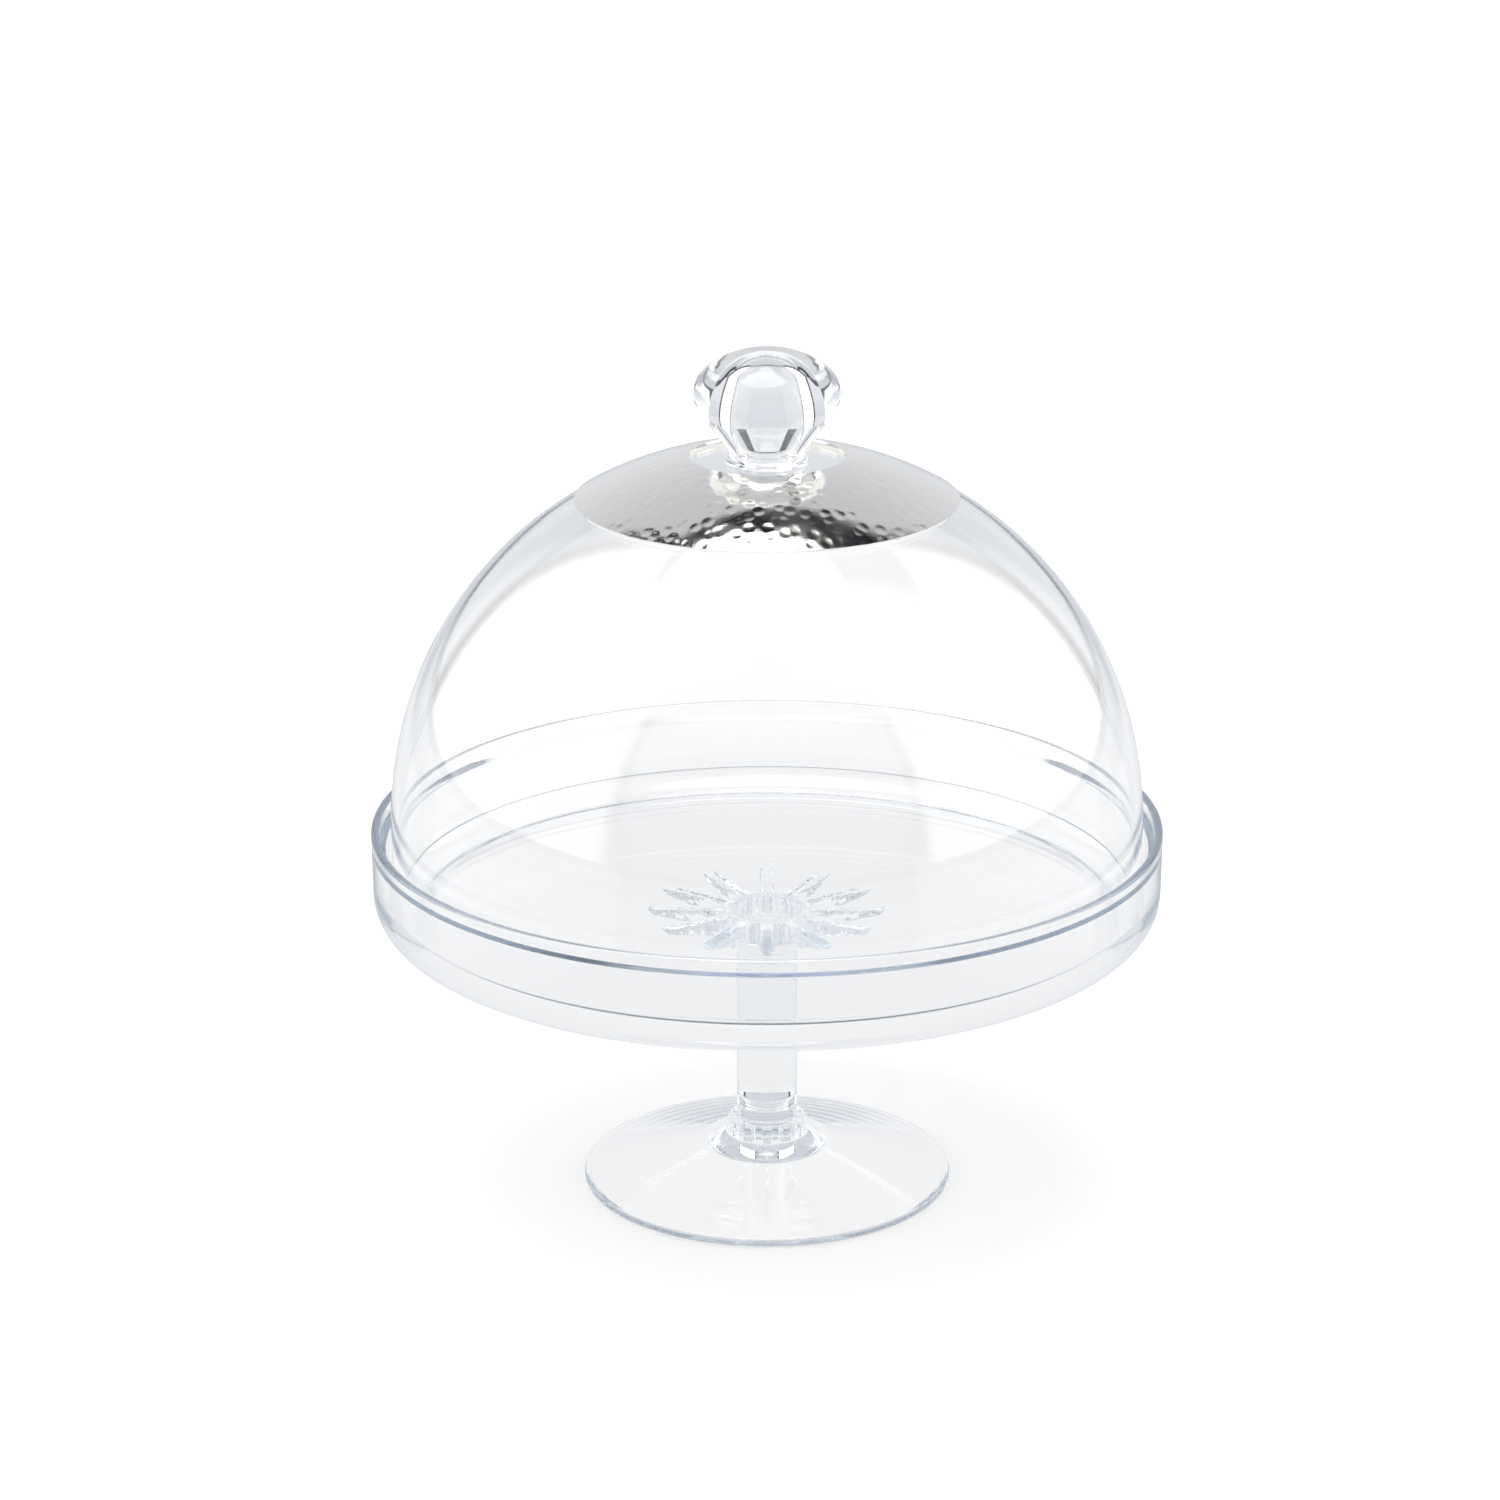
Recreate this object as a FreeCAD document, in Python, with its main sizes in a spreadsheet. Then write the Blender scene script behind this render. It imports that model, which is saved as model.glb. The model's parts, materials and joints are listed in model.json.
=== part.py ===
"""Footed cake stand with a glass-clear dome, a knob and a hammered metal ring.

Millimetres, +Z up. The origin is the centre of the foot's underside, on the table.
Every turned piece is a PartDesign revolution of one half profile, and every size in
it is bound to the spreadsheet "dims".
"""

import FreeCAD, Part
import math
import os
import Sketcher

# alias: (millimetres or a count, what it is)
DIMENSIONS = {
    # foot
    "foot_radius": (72.0, "outer radius of the foot"),
    "foot_edge": (3.2, "thickness of the foot's edge"),
    "foot_pad_width": (2.0, "width of the flat ring that the foot stands on"),
    "foot_wall": (3.2, "thickness of the foot's glass under its cone"),
    "hub_radius": (16.2, "radius of the hub's flat top"),
    "hub_height": (18.5, "height of the hub's top above the table"),
    "cone_radius": (24.0, "radius where the hub's sweep meets the cone"),
    "cone_height": (15.9, "height of the foot's top face at cone_radius"),
    "hub_sweep": (30.0, "radius of the sweep from the cone up to the hub"),
    # couplings at the two ends of the stem
    "coupling_radius": (15.7, "outer radius of a coupling's toothed flange"),
    "root_radius": (12.6, "radius of the flange between the teeth"),
    "flange_height": (6.0, "height of the toothed flange"),
    "tooth_count": (12, "teeth round the lower coupling"),
    "tooth_width": (4.2, "width of one tooth"),
    "coupling_neck": (11.5, "radius of the coupling's neck"),
    "neck_height": (5.6, "length of the neck between the flange and the stem"),
    "spigot_radius": (7.0, "radius of the spigots inside the stem"),
    "spigot_length": (3.6, "length of the spigots inside the stem"),
    "plug_radius": (9.8, "radius of the plug inside the foot's hub"),
    "plug_length": (3.2, "length of the plug inside the foot's hub"),
    "rib_count": (24, "ribs round the upper coupling's cup"),
    "rib_width": (1.3, "width of one rib"),
    "rib_depth": (1.6, "height of a rib above the cup's wall"),
    "cup_wall": (1.4, "wall of the upper coupling's cup"),
    "cup_depth": (10.0, "depth of the upper coupling's ribbed cup"),
    "sleeve_length": (4.0, "length of the sleeve below the cup that grips the stem"),
    # stem
    "stem_radius": (11.8, "radius of the stem"),
    "stem_round": (0.6, "rounding of the stem's end edges"),
    # plate
    "plate_radius": (152.5, "outer radius of the plate"),
    "rim_height": (148.1, "height of the rim's lip above the table"),
    "lip_wall": (3.2, "thickness of the lip"),
    "lip_height": (5.2, "height of the thin lip above the step inside the wall"),
    "wall": (5.6, "thickness of the wall below the step"),
    "wall_draft": (0.5, "how far the wall leans in from its lip to its foot"),
    "floor_height": (112.8, "height of the plate's floor above the table"),
    "floor_thickness": (4.5, "thickness of the floor"),
    "outer_corner": (15.0, "outer radius between wall and bottom"),
    "inner_corner": (15.0, "inner radius between wall and floor"),
    "socket_wall": (2.2, "wall of the socket under the plate"),
    "socket_depth": (9.4, "depth of the socket under the plate"),
    "gusset_count": (12, "gussets round the socket"),
    "gusset_reach": (45.0, "radius that the gussets reach"),
    "gusset_thickness": (4.2, "thickness of one gusset"),
    "gusset_foot": (8.0, "depth of a gusset at the socket"),
    "gusset_tip": (2.0, "depth of a gusset at its outer end"),
    # dome
    "dome_radius": (144.7, "outer radius of the dome"),
    "dome_wall": (3.0, "wall of the dome"),
    "dome_base": (120.7, "height of the dome's lower edge above the table"),
    "dome_centre": (150.4, "height of the dome's centre above the table"),
    "dome_edge": (1.0, "rounding of the dome's lower edge"),
    "crown_height": (291.4, "height of the flat seat on the dome's crown"),
    # knob
    "knob_radius": (27.7, "largest radius of the knob"),
    "knob_belt": (317.2, "height of that radius above the table"),
    "knob_top": (334.3, "height of the knob's top above the table"),
    "knob_bend": (12.5, "radius of the bend at the knob's widest"),
    "knob_neck": (14.3, "smallest radius of the neck"),
    "knob_waist": (4.0, "radius of the waist where flank meets neck"),
    "knob_lip": (0.5, "thickness of the knob's foot at its edge"),
    "cavity_radius": (14.5, "radius of the hollow's round top inside the knob"),
    "cavity_belt": (310.5, "height of the centre of that round top above the table"),
    "cavity_neck": (7.8, "radius of the hollow inside the neck"),
    "cavity_throat": (297.0, "height where the hollow starts to widen"),
    "bond_gap": (0.06, "bond line between two clear pieces"),
    # hammered ring
    "ring_radius": (73.0, "outer radius of the ring"),
    "ring_hole": (29.45, "radius of the hole that the knob passes through"),
    "ring_gap": (0.2, "clearance between ring and dome"),
    "ring_wall": (0.9, "thickness of the ring's sheet"),
}


# The knob's flank leans in by the angle of a 3-4-5 triangle.
FLANK_SINE = 0.6
FLANK_COSINE = 0.8


class Size:
    """A length that carries its value and the spreadsheet formula it comes from."""

    def __init__(self, value, formula):
        self.value = float(value)
        self.formula = formula

    def combined(self, other, sign, value):
        return Size(value, f"({self.formula} {sign} {as_size(other).formula})")

    def __add__(self, other):
        return self.combined(other, "+", self.value + as_size(other).value)

    def __sub__(self, other):
        return self.combined(other, "-", self.value - as_size(other).value)

    def __mul__(self, other):
        return self.combined(other, "*", self.value * as_size(other).value)

    def __truediv__(self, other):
        return self.combined(other, "/", self.value / as_size(other).value)


def as_size(number):
    return number if isinstance(number, Size) else Size(number, repr(number))


def root(size):
    return Size(math.sqrt(size.value), f"sqrt({size.formula})")


def leg(hypotenuse, other_leg):
    """The third side of a right triangle."""
    return root(hypotenuse * hypotenuse - other_leg * other_leg)


def make_sheet(doc):
    """Writes the dimensions into the spreadsheet and returns them as Sizes by name."""
    sheet = doc.addObject("Spreadsheet::Sheet", "dims")
    for row, (alias, (value, meaning)) in enumerate(DIMENSIONS.items(), start=1):
        sheet.set(f"A{row}", meaning)
        sheet.set(f"B{row}", str(value))
        sheet.setAlias(f"B{row}", alias)
    doc.recompute()
    return {
        alias: Size(value, f"dims.{alias}")
        for alias, (value, meaning) in DIMENSIONS.items()
    }


def new_body(doc, label):
    body = doc.addObject("PartDesign::Body", label)
    body.Label = label
    body.Placement = FreeCAD.Placement()
    return body


def origin_feature(body, role):
    return next(f for f in body.Origin.OriginFeatures if f.Role == role)


def new_sketch(body, name, plane, height=None):
    """A sketch on one of the body's own origin planes, raised by height if given."""
    sketch = body.newObject("Sketcher::SketchObject", name)
    sketch.AttachmentSupport = (origin_feature(body, plane), [""])
    sketch.MapMode = "FlatFace"
    if height is not None:
        sketch.AttachmentOffset = FreeCAD.Placement(
            FreeCAD.Vector(0, 0, height.value), FreeCAD.Rotation()
        )
        sketch.setExpression("AttachmentOffset.Base.z", height.formula)
    return sketch


ORIGIN = (-1, 1)
ACROSS_AXIS = -1
UP_AXIS = -2
START = 1
END = 2


def bind(sketch, index, size):
    sketch.setExpression(f"Constraints[{index}]", size.formula)


def pin_point(sketch, point, across, up):
    """Fixes a sketch point at two sizes. None puts it on the axis in question."""
    for kind, axis, size in (
        ("DistanceX", UP_AXIS, across),
        ("DistanceY", ACROSS_AXIS, up),
    ):
        if size is None:
            sketch.addConstraint(Sketcher.Constraint("PointOnObject", *point, axis))
        else:
            constraint = Sketcher.Constraint(kind, *ORIGIN, *point, size.value)
            bind(sketch, sketch.addConstraint(constraint), size)


def arc_between(start, end, radius):
    """The short arc from start to end. A negative radius turns clockwise."""
    chord = end - start
    size = abs(radius)
    height = math.sqrt(size * size - chord.Length**2 / 4)
    left = FreeCAD.Vector(-chord.y, chord.x, 0).normalize()
    centre = (start + end) / 2 + left * math.copysign(height, radius)
    first, last = (start, end) if radius > 0 else (end, start)
    angles = [math.atan2(p.y - centre.y, p.x - centre.x) for p in (first, last)]
    circle = Part.Circle(centre, FreeCAD.Vector(0, 0, 1), size)
    return Part.ArcOfCircle(circle, *angles)


def draw_outline(sketch, outline):
    """Draws a closed outline of (across, up, bend) points.

    bend is the radius of the arc to the next point, None for a straight line, and
    a pair (radius, -1) turns clockwise.
    """
    count = len(outline)
    places = [
        FreeCAD.Vector(across.value if across else 0, up.value if up else 0, 0)
        for across, up, bend in outline
    ]
    ends = []
    for index, (across, up, bend) in enumerate(outline):
        start, end = places[index], places[(index + 1) % count]
        if bend is None:
            geometry = sketch.addGeometry(Part.LineSegment(start, end))
            ends.append(((geometry, START), (geometry, END)))
            continue
        radius, turn = bend if isinstance(bend, tuple) else (bend, 1)
        geometry = sketch.addGeometry(arc_between(start, end, turn * radius.value))
        pair = ((geometry, START), (geometry, END))
        ends.append(pair if turn > 0 else pair[::-1])
        constraint = Sketcher.Constraint("Radius", geometry, radius.value)
        bind(sketch, sketch.addConstraint(constraint), radius)
    for index, (across, up, bend) in enumerate(outline):
        begin, finish = ends[index]
        following = ends[(index + 1) % count][0]
        sketch.addConstraint(Sketcher.Constraint("Coincident", *finish, *following))
        pin_point(sketch, begin, across, up)


def turned(body, name, outline):
    """Revolves a half profile about Z."""
    sketch = new_sketch(body, f"{name}_profile", "XZ_Plane")
    draw_outline(sketch, outline)
    feature = body.newObject("PartDesign::Revolution", name)
    feature.Profile = sketch
    feature.ReferenceAxis = (sketch, ["V_Axis"])
    feature.Angle = 360
    body.Tip = feature
    return feature


def repeated(body, name, feature, count):
    """Repeats a feature evenly round Z."""
    pattern = body.newObject("PartDesign::PolarPattern", name)
    pattern.Originals = [feature]
    pattern.Axis = (origin_feature(body, "Z_Axis"), [""])
    pattern.Angle = 360
    pattern.Occurrences = int(count.value)
    pattern.setExpression("Occurrences", count.formula)
    body.Tip = pattern
    return pattern


def radial_bars(body, name, count, inner, outer, width, bottom, height):
    """Bars that stand on the level bottom and run outward from inner to outer."""
    sketch = new_sketch(body, f"{name}_outline", "XY_Plane", bottom)
    half = width / 2
    corners = ((inner, -1), (outer, -1), (outer, 1), (inner, 1))
    places = [FreeCAD.Vector(r.value, side * half.value, 0) for r, side in corners]
    for index in range(4):
        sketch.addGeometry(Part.LineSegment(places[index], places[(index + 1) % 4]))
    for index, (radius, side) in enumerate(corners):
        following = (index + 1) % 4
        sketch.addConstraint(
            Sketcher.Constraint("Coincident", index, END, following, START)
        )
        place = places[index]
        distance_x = Sketcher.Constraint("DistanceX", *ORIGIN, index, START, place.x)
        distance_y = Sketcher.Constraint("DistanceY", *ORIGIN, index, START, place.y)
        bind(sketch, sketch.addConstraint(distance_x), radius)
        bind(sketch, sketch.addConstraint(distance_y), half * side)
    pad = body.newObject("PartDesign::Pad", f"{name}_one")
    pad.Profile = sketch
    pad.Length = height.value
    pad.setExpression("Length", height.formula)
    return repeated(body, name, pad, count)


def make_foot(doc, d):
    """A shallow hollow cone that sweeps up to a hub with a socket for the plug."""
    body = new_body(doc, "foot")
    half_edge = d["foot_edge"] / 2
    edge = d["foot_radius"] - half_edge
    pad_inside = edge - d["foot_pad_width"]
    under_hub = d["hub_height"] - d["plug_length"] - d["foot_wall"]
    under_cone = d["cone_height"] - d["foot_wall"]
    outline = [
        (None, under_hub, None),
        (d["hub_radius"] - d["foot_wall"], under_hub, None),
        (d["cone_radius"], under_cone, None),
        (pad_inside, None, None),
        (edge, None, half_edge),
        (d["foot_radius"], half_edge, half_edge),
        (edge, d["foot_edge"], None),
        (d["cone_radius"], d["cone_height"], (d["hub_sweep"], -1)),
        (d["hub_radius"], d["hub_height"], None),
        (d["plug_radius"] + d["bond_gap"], d["hub_height"], None),
        (d["plug_radius"] + d["bond_gap"], d["hub_height"] - d["plug_length"], None),
        (None, d["hub_height"] - d["plug_length"], None),
    ]
    turned(body, "foot_glass", outline)
    return body


def make_lower_coupling(doc, d):
    """A toothed flange with a plug below it, and a neck and a spigot above."""
    body = new_body(doc, "lower_coupling")
    seat = d["hub_height"] + d["bond_gap"]
    shoulder = seat + d["flange_height"]
    stem_seat = shoulder + d["neck_height"]
    plug_end = seat - d["plug_length"] + d["bond_gap"]
    spigot_end = stem_seat + d["spigot_length"]
    outline = [
        (None, plug_end, None),
        (d["plug_radius"], plug_end, None),
        (d["plug_radius"], seat, None),
        (d["root_radius"], seat, None),
        (d["root_radius"], shoulder, None),
        (d["coupling_neck"], shoulder, None),
        (d["coupling_neck"], stem_seat, None),
        (d["spigot_radius"], stem_seat, None),
        (d["spigot_radius"], spigot_end, None),
        (None, spigot_end, None),
    ]
    turned(body, "lower_core", outline)
    radial_bars(
        body, "lower_teeth", d["tooth_count"], d["plug_radius"], d["coupling_radius"],
        d["tooth_width"], seat, d["flange_height"],
    )
    return body


def stem_ends(d):
    """Heights of the stem's lower and upper end faces."""
    coupling_seat = d["hub_height"] + d["bond_gap"]
    neck_end = coupling_seat + d["flange_height"] + d["neck_height"]
    cup_end = d["floor_height"] - d["floor_thickness"] - d["bond_gap"] - d["cup_depth"]
    rib_end = cup_end - d["bond_gap"]
    return neck_end + d["bond_gap"], rib_end - d["bond_gap"]


def make_stem(doc, d):
    """A round rod, bored at its lower end for the spigot."""
    body = new_body(doc, "stem")
    bottom, top = stem_ends(d)
    edge = d["stem_round"]
    bore = d["spigot_radius"] + d["bond_gap"]
    outline = [
        (bore, bottom, None),
        (d["stem_radius"] - edge, bottom, edge),
        (d["stem_radius"], bottom + edge, None),
        (d["stem_radius"], top - edge, edge),
        (d["stem_radius"] - edge, top, None),
        (None, top, None),
        (None, bottom + d["spigot_length"], None),
        (bore, bottom + d["spigot_length"], None),
    ]
    turned(body, "stem_rod", outline)
    return body


def cup_radius(d):
    """Inner radius of the upper coupling's cup, at the foot of its ribs."""
    return d["stem_radius"] + d["bond_gap"] + d["rib_depth"]


def make_upper_coupling(doc, d):
    """A sleeve round the stem's end that opens above it into a ribbed cup."""
    body = new_body(doc, "upper_coupling")
    underside = d["floor_height"] - d["floor_thickness"] - d["bond_gap"]
    inside = cup_radius(d)
    outside = inside + d["cup_wall"]
    seat = underside - d["cup_depth"]
    bottom = seat - d["sleeve_length"]
    grip = d["stem_radius"] + d["bond_gap"]
    outline = [
        (grip, bottom, None),
        (outside, bottom, None),
        (outside, underside, None),
        (inside, underside, None),
        (inside, seat, None),
        (grip, seat, None),
    ]
    turned(body, "cup", outline)
    radial_bars(
        body, "cup_ribs", d["rib_count"], grip, inside + d["cup_wall"] / 2,
        d["rib_width"], seat - d["bond_gap"], d["cup_depth"],
    )
    return body


def make_plate(doc, d):
    """A flat dish with an upright wall, and a gusseted socket under its floor."""
    body = new_body(doc, "plate")
    lip = d["lip_wall"] / 2
    lip_inside = d["plate_radius"] - d["lip_wall"]
    step = d["rim_height"] - d["lip_height"]
    foot_radius = d["plate_radius"] - d["wall_draft"]
    wall_inside = d["plate_radius"] - d["wall"]
    inner_foot = wall_inside - d["wall_draft"]
    underside = d["floor_height"] - d["floor_thickness"]
    socket_inside = cup_radius(d) + d["cup_wall"] + d["bond_gap"]
    socket_outside = socket_inside + d["socket_wall"]
    socket_end = underside - d["socket_depth"]
    outline = [
        (None, underside, None),
        (socket_inside, underside, None),
        (socket_inside, socket_end, None),
        (socket_outside, socket_end, None),
        (socket_outside, underside, None),
        (foot_radius - d["outer_corner"], underside, d["outer_corner"]),
        (foot_radius, underside + d["outer_corner"], None),
        (d["plate_radius"], d["rim_height"] - lip, lip),
        (d["plate_radius"] - lip, d["rim_height"], lip),
        (lip_inside, d["rim_height"] - lip, None),
        (lip_inside, step, None),
        (wall_inside, step - (d["wall"] - d["lip_wall"]), None),
        (inner_foot, d["floor_height"] + d["inner_corner"], (d["inner_corner"], -1)),
        (inner_foot - d["inner_corner"], d["floor_height"], None),
        (None, d["floor_height"], None),
    ]
    turned(body, "dish", outline)
    gusset = new_sketch(body, "gusset_outline", "XZ_Plane")
    bite = d["socket_wall"] / 2
    draw_outline(gusset, [
        (socket_outside - bite, underside - d["gusset_foot"], None),
        (socket_outside, underside - d["gusset_foot"], None),
        (d["gusset_reach"], underside - d["gusset_tip"], None),
        (d["gusset_reach"], underside + d["gusset_tip"], None),
        (socket_outside - bite, underside + d["gusset_tip"], None),
    ])
    fin = body.newObject("PartDesign::Pad", "gusset_one")
    fin.Profile = gusset
    fin.Midplane = True
    fin.Length = d["gusset_thickness"].value
    fin.setExpression("Length", d["gusset_thickness"].formula)
    repeated(body, "gussets", fin, d["gusset_count"])
    return body


def make_dome(doc, d):
    """A hemisphere on a short upright skirt, with a flat seat on its crown."""
    body = new_body(doc, "dome")
    edge = d["dome_edge"]
    inside = d["dome_radius"] - d["dome_wall"]
    seat_rise = d["crown_height"] - d["dome_centre"]
    ceiling_rise = seat_rise - d["dome_wall"]
    outline = [
        (inside + edge, d["dome_base"], None),
        (d["dome_radius"] - edge, d["dome_base"], edge),
        (d["dome_radius"], d["dome_base"] + edge, None),
        (d["dome_radius"], d["dome_centre"], d["dome_radius"]),
        (leg(d["dome_radius"], seat_rise), d["crown_height"], None),
        (None, d["crown_height"], None),
        (None, d["crown_height"] - d["dome_wall"], None),
        (leg(inside, ceiling_rise), d["crown_height"] - d["dome_wall"], (inside, -1)),
        (inside, d["dome_centre"], None),
        (inside, d["dome_base"] + edge, edge),
    ]
    turned(body, "dome_glass", outline)
    return body


def make_knob(doc, d):
    """A thick-walled mushroom knob, hollow from below, that flares at its foot."""
    body = new_body(doc, "knob")
    base = d["crown_height"] + d["bond_gap"]
    bend = d["knob_bend"]
    rise = d["knob_top"] - d["knob_belt"]
    # The crown's arc is centred on the axis and tangent to the bend at the belt.
    bend_centre = d["knob_radius"] - bend
    crown = (bend_centre * bend_centre + rise * rise - bend * bend) / (rise - bend) / 2
    crown_centre = d["knob_top"] - crown
    stretch = crown / (crown - bend)
    crown_edge = bend_centre * stretch
    crown_edge_height = crown_centre + (d["knob_belt"] - crown_centre) * stretch
    # Below the belt a straight flank runs tangent to both the bend and the waist.
    flank_top = d["knob_radius"] - bend * (1 - FLANK_COSINE)
    flank_top_height = d["knob_belt"] - bend * FLANK_SINE
    flank_end = d["knob_neck"] + d["knob_waist"] * (1 - FLANK_COSINE)
    flank_drop = (flank_top - flank_end) * (FLANK_COSINE / FLANK_SINE)
    flank_end_height = flank_top_height - flank_drop
    neck_height = flank_end_height - d["knob_waist"] * FLANK_SINE
    flare = neck_height - base - d["knob_lip"]
    cavity = d["cavity_radius"]
    outline = [
        (d["cavity_neck"], base, None),
        (d["knob_neck"] + flare, base, None),
        (d["knob_neck"] + flare, base + d["knob_lip"], (flare, -1)),
        (d["knob_neck"], neck_height, (d["knob_waist"], -1)),
        (flank_end, flank_end_height, None),
        (flank_top, flank_top_height, bend),
        (d["knob_radius"], d["knob_belt"], bend),
        (crown_edge, crown_edge_height, crown),
        (None, d["knob_top"], None),
        (None, d["cavity_belt"] + cavity, (cavity, -1)),
        (cavity, d["cavity_belt"], None),
        (d["cavity_neck"], d["cavity_throat"], None),
    ]
    turned(body, "knob_glass", outline)
    return body


def make_cap_ring(doc, d):
    """A ring of thin sheet, dished to the dome, whose hole clears the knob."""
    body = new_body(doc, "cap_ring")
    inner_face = d["dome_radius"] + d["ring_gap"]
    outer_face = inner_face + d["ring_wall"]

    def height(radius, across):
        return d["dome_centre"] + leg(radius, across)

    outline = [
        (d["ring_radius"], height(inner_face, d["ring_radius"]), None),
        (d["ring_radius"], height(outer_face, d["ring_radius"]), outer_face),
        (d["ring_hole"], height(outer_face, d["ring_hole"]), None),
        (d["ring_hole"], height(inner_face, d["ring_hole"]), (inner_face, -1)),
    ]
    turned(body, "ring_sheet", outline)
    return body


MAKERS = (
    make_foot,
    make_lower_coupling,
    make_stem,
    make_upper_coupling,
    make_plate,
    make_dome,
    make_knob,
    make_cap_ring,
)


def check(doc, bodies):
    """Stops if anything in the document failed, and prints each piece's volume."""
    for item in doc.Objects:
        if {"Invalid", "Error"} & set(item.State):
            raise RuntimeError(f"{item.Label} failed: {item.State}")
    for body in bodies:
        shape = body.Shape
        if shape.isNull() or not shape.isValid() or len(shape.Solids) != 1:
            raise RuntimeError(f"{body.Label} isn't one valid solid")
        box = shape.BoundBox
        print(
            f"{body.Label:16s} {shape.Volume / 1000:8.2f} cm3  "
            f"radius {box.XMax:7.2f}  z {box.ZMin:7.2f} to {box.ZMax:7.2f}"
        )


def main():
    doc = FreeCAD.newDocument("cake_stand")
    sizes = make_sheet(doc)
    bodies = [make(doc, sizes) for make in MAKERS]
    doc.recompute()
    check(doc, bodies)
    os.makedirs("parts", exist_ok=True)
    for body in bodies:
        body.Shape.exportStep(f"parts/{body.Label}.step")


main()
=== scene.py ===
"""Looks of the footed cake stand: clear turned pieces and a hammered metal ring.

Metres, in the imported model's frame: +Z up, origin under the middle of the foot.
Every piece is turned from a half profile of (radius, height) points that runs
anticlockwise, so that the piece's inside is on the left of each stretch.
"""

import json
import math
import random

import bpy
import numpy as np
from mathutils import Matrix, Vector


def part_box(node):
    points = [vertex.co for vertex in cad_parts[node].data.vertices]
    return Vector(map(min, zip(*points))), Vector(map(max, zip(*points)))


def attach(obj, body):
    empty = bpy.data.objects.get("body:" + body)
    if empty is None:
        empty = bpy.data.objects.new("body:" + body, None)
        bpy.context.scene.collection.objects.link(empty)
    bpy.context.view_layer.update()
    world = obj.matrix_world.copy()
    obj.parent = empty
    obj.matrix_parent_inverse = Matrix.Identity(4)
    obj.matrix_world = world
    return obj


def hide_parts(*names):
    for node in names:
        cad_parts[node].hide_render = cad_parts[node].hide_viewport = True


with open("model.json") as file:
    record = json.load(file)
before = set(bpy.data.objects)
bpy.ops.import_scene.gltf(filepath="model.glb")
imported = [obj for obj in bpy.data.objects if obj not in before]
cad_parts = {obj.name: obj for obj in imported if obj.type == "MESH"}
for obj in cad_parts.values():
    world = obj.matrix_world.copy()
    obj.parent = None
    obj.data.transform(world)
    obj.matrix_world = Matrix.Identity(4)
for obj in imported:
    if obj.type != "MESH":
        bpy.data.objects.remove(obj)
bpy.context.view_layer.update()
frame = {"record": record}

MM = 0.001
NODE_BODY = {
    node: body
    for body, nodes in frame["record"]["behaviour"]["bodies"].items()
    for node in nodes
}

# Wall thicknesses, roundings and steps that a node's box doesn't give.
EDGE = 0.35 * MM
ROUND_SHARE = 0.999      # of half an edge's width: its two roundings stay just apart
FOOT_EDGE = 3.2 * MM
FOOT_PAD = 2.0 * MM
PAD_ROUND = 2.0 * MM
FOOT_WALL = 3.2 * MM
HUB_RADIUS = 16.2 * MM
CONE_RADIUS = 24.0 * MM
CONE_HEIGHT = 15.9 * MM
CONE_ROUND = 12.0 * MM
HUB_SWEEP = 30.0 * MM
SOCKET_DEPTH = 3.2 * MM
BOND_GAP = 0.06 * MM
PLUG_RADIUS = 9.8 * MM
FLANGE_HEIGHT = 6.0 * MM
ROOT_RADIUS = 12.6 * MM
NECK_RADIUS = 11.5 * MM
SPIGOT_RADIUS = 7.0 * MM
SPIGOT_LENGTH = 3.6 * MM
STEM_ROUND = 0.6 * MM
TOOTH_COUNT = 12
TOOTH_WIDTH = 4.2 * MM
TOOTH_EDGE = 1.0 * MM
RIB_COUNT = 24
RIB_WIDTH = 1.3 * MM
RIB_EDGE = 0.5 * MM
RIB_DEPTH = 1.6 * MM
RIB_SHARE = 0.98         # of that depth: the ribs stop short of the bore's radius
CUP_WALL = 1.4 * MM
CUP_DEPTH = 10.0 * MM
LIP_WALL = 3.2 * MM
LIP_HEIGHT = 5.2 * MM
LIP_ROUND = 1.0 * MM
WALL = 5.6 * MM
WALL_DRAFT = 0.5 * MM
FLOOR_DROP = 35.3 * MM
FLOOR_THICKNESS = 4.5 * MM
OUTER_CORNER = 15.0 * MM
INNER_CORNER = 15.0 * MM
SOCKET_WALL = 2.2 * MM
SOCKET_LENGTH = 9.4 * MM
GUSSET_COUNT = 12
GUSSET_REACH = 45.0 * MM
GUSSET_MARGIN = 1.0 * MM
GUSSET_ROWS = 16
GUSSET_THICKNESS = 4.2 * MM
GUSSET_EDGE = 0.6 * MM
GUSSET_FOOT = 8.0 * MM
GUSSET_TIP = 2.0 * MM
DOME_WALL = 3.0 * MM
DOME_SKIRT = 29.7 * MM
DOME_EDGE = 1.0 * MM
KNOB_BELT_DROP = 17.1 * MM
KNOB_BEND = 12.5 * MM
KNOB_NECK = 14.3 * MM
KNOB_WAIST = 4.0 * MM
KNOB_LIP = 0.5 * MM
CAVITY_RADIUS = 14.5 * MM
CAVITY_DROP = 23.8 * MM
CAVITY_NECK = 7.8 * MM
THROAT_DROP = 37.3 * MM
FLANK_SINE = 0.6
FLANK_COSINE = 0.8
RING_HOLE = 29.45 * MM
RING_WALL = 0.9 * MM
RING_ROWS = 64
RING_BACK_ROWS = 16
HAMMER_SEED = 11
HAMMER_PITCH = 5.6 * MM
HAMMER_CURVE = 26 * MM   # radius of the bowl that a blow leaves
HAMMER_DEPTH = 0.12 * MM
HAMMER_BLEND = 0.012 * MM
HAMMER_JITTER = 0.4      # shift of a blow, as a share of the pitch
HAMMER_UNEVEN = 0.06     # millimetres between the deepest and the lightest blow

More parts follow.
